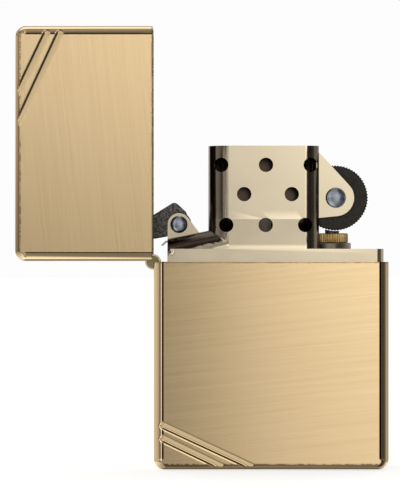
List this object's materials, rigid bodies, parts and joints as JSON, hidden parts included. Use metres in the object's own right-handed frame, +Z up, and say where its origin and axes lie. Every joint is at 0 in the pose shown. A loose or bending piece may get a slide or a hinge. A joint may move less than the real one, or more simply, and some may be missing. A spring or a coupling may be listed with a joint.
{
  "type": "windproof pocket lighter",
  "caption": "Refillable windproof pocket lighter with a hinged metal case, lift-out burner insert, perforated chimney and striker wheel.",
  "frame": {"origin": "middle of the case's bottom face", "axes": "+X along the case's width, away from the hinge; -Y is the front broad face; +Z up, out of the case's mouth; the lid stands open at a right angle"},
  "size_m": [0.0606, 0.0126, 0.0719],
  "materials": {
    "case_brass": "brushed broad faces, polished edges",
    "hinge_brass": "polished",
    "insert_steel": "bright, warm champagne tint",
    "rivet_steel": "polished",
    "wheel_steel": "hardened, dark, knurled",
    "cam_steel": "dark, sandblasted",
    "spring_steel": "satin",
    "tube_brass": "turned",
    "flint_alloy": "matt",
    "wick_cotton": "plaited cord, charred at the tip",
    "cotton_wool": "loose fibre",
    "felt": "felted wool"
  },
  "bodies": {
    "case": {"lower_case": "case_brass", "hinge_leaf_lower": "hinge_brass", "hinge_pin": "hinge_brass"},
    "lid": {"lid_shell": "case_brass", "hinge_leaf_upper": "hinge_brass", "lid_stop_plate": "spring_steel"},
    "insert": {"insert_shell": "insert_steel", "top_plate": "insert_steel", "wheel_rivet": "rivet_steel", "cam_rivet": "rivet_steel", "cam_spring": "spring_steel", "cam_spring_rivet": "rivet_steel", "wick": "wick_cotton", "felt_pad": "felt", "flint_tube": "tube_brass", "flint_ferrule": "tube_brass", "flint_flange": "insert_steel", "flint_spring": "spring_steel", "cotton_pad_1": "cotton_wool", "cotton_pad_2": "cotton_wool", "cotton_pad_3": "cotton_wool", "cotton_pad_4": "cotton_wool"},
    "cam": {"cam": "cam_steel"},
    "wheel": {"striker_wheel": "wheel_steel"},
    "flint": {"flint": "flint_alloy", "flint_plunger": "tube_brass"},
    "screw": {"flint_screw": "tube_brass"}
  },
  "joints": [
    {"name": "lid_hinge", "type": "hinge", "parent": "case", "child": "lid", "pos_m": [-0.0192, 0, 0.03365], "axis": [0, -1, 0], "range_deg": [-90, 25]},
    {"name": "cam_pivot", "type": "hinge", "parent": "insert", "child": "cam", "pos_m": [-0.01499, 0, 0.03976], "axis": [0, -1, 0], "range_deg": [-81, 23], "deforming": ["cam_spring"]},
    {"name": "insert_lift", "type": "slide", "parent": "case", "child": "insert", "axis": [0, 0, 1], "range_m": [0, 0.0285]},
    {"name": "wheel_spin", "type": "hinge", "parent": "insert", "child": "wheel", "pos_m": [0.01055, 0, 0.0441], "axis": [0, 1, 0], "continuous": true},
    {"name": "flint_feed", "type": "slide", "parent": "insert", "child": "flint", "axis": [0, 0, 1], "range_m": [-0.002, 0], "stiffness_N_per_m": 20, "springref_m": 0.002, "deforming": ["flint_spring"]},
    {"name": "flint_screw_turn", "type": "hinge", "parent": "insert", "child": "screw", "pos_m": [0.0101, 0, 0.003], "axis": [0, 0, 1], "continuous": true}
  ],
  "couplings": [
    {"joint": "cam_pivot", "follows": "lid_hinge", "ratio": 0.888}
  ]
}
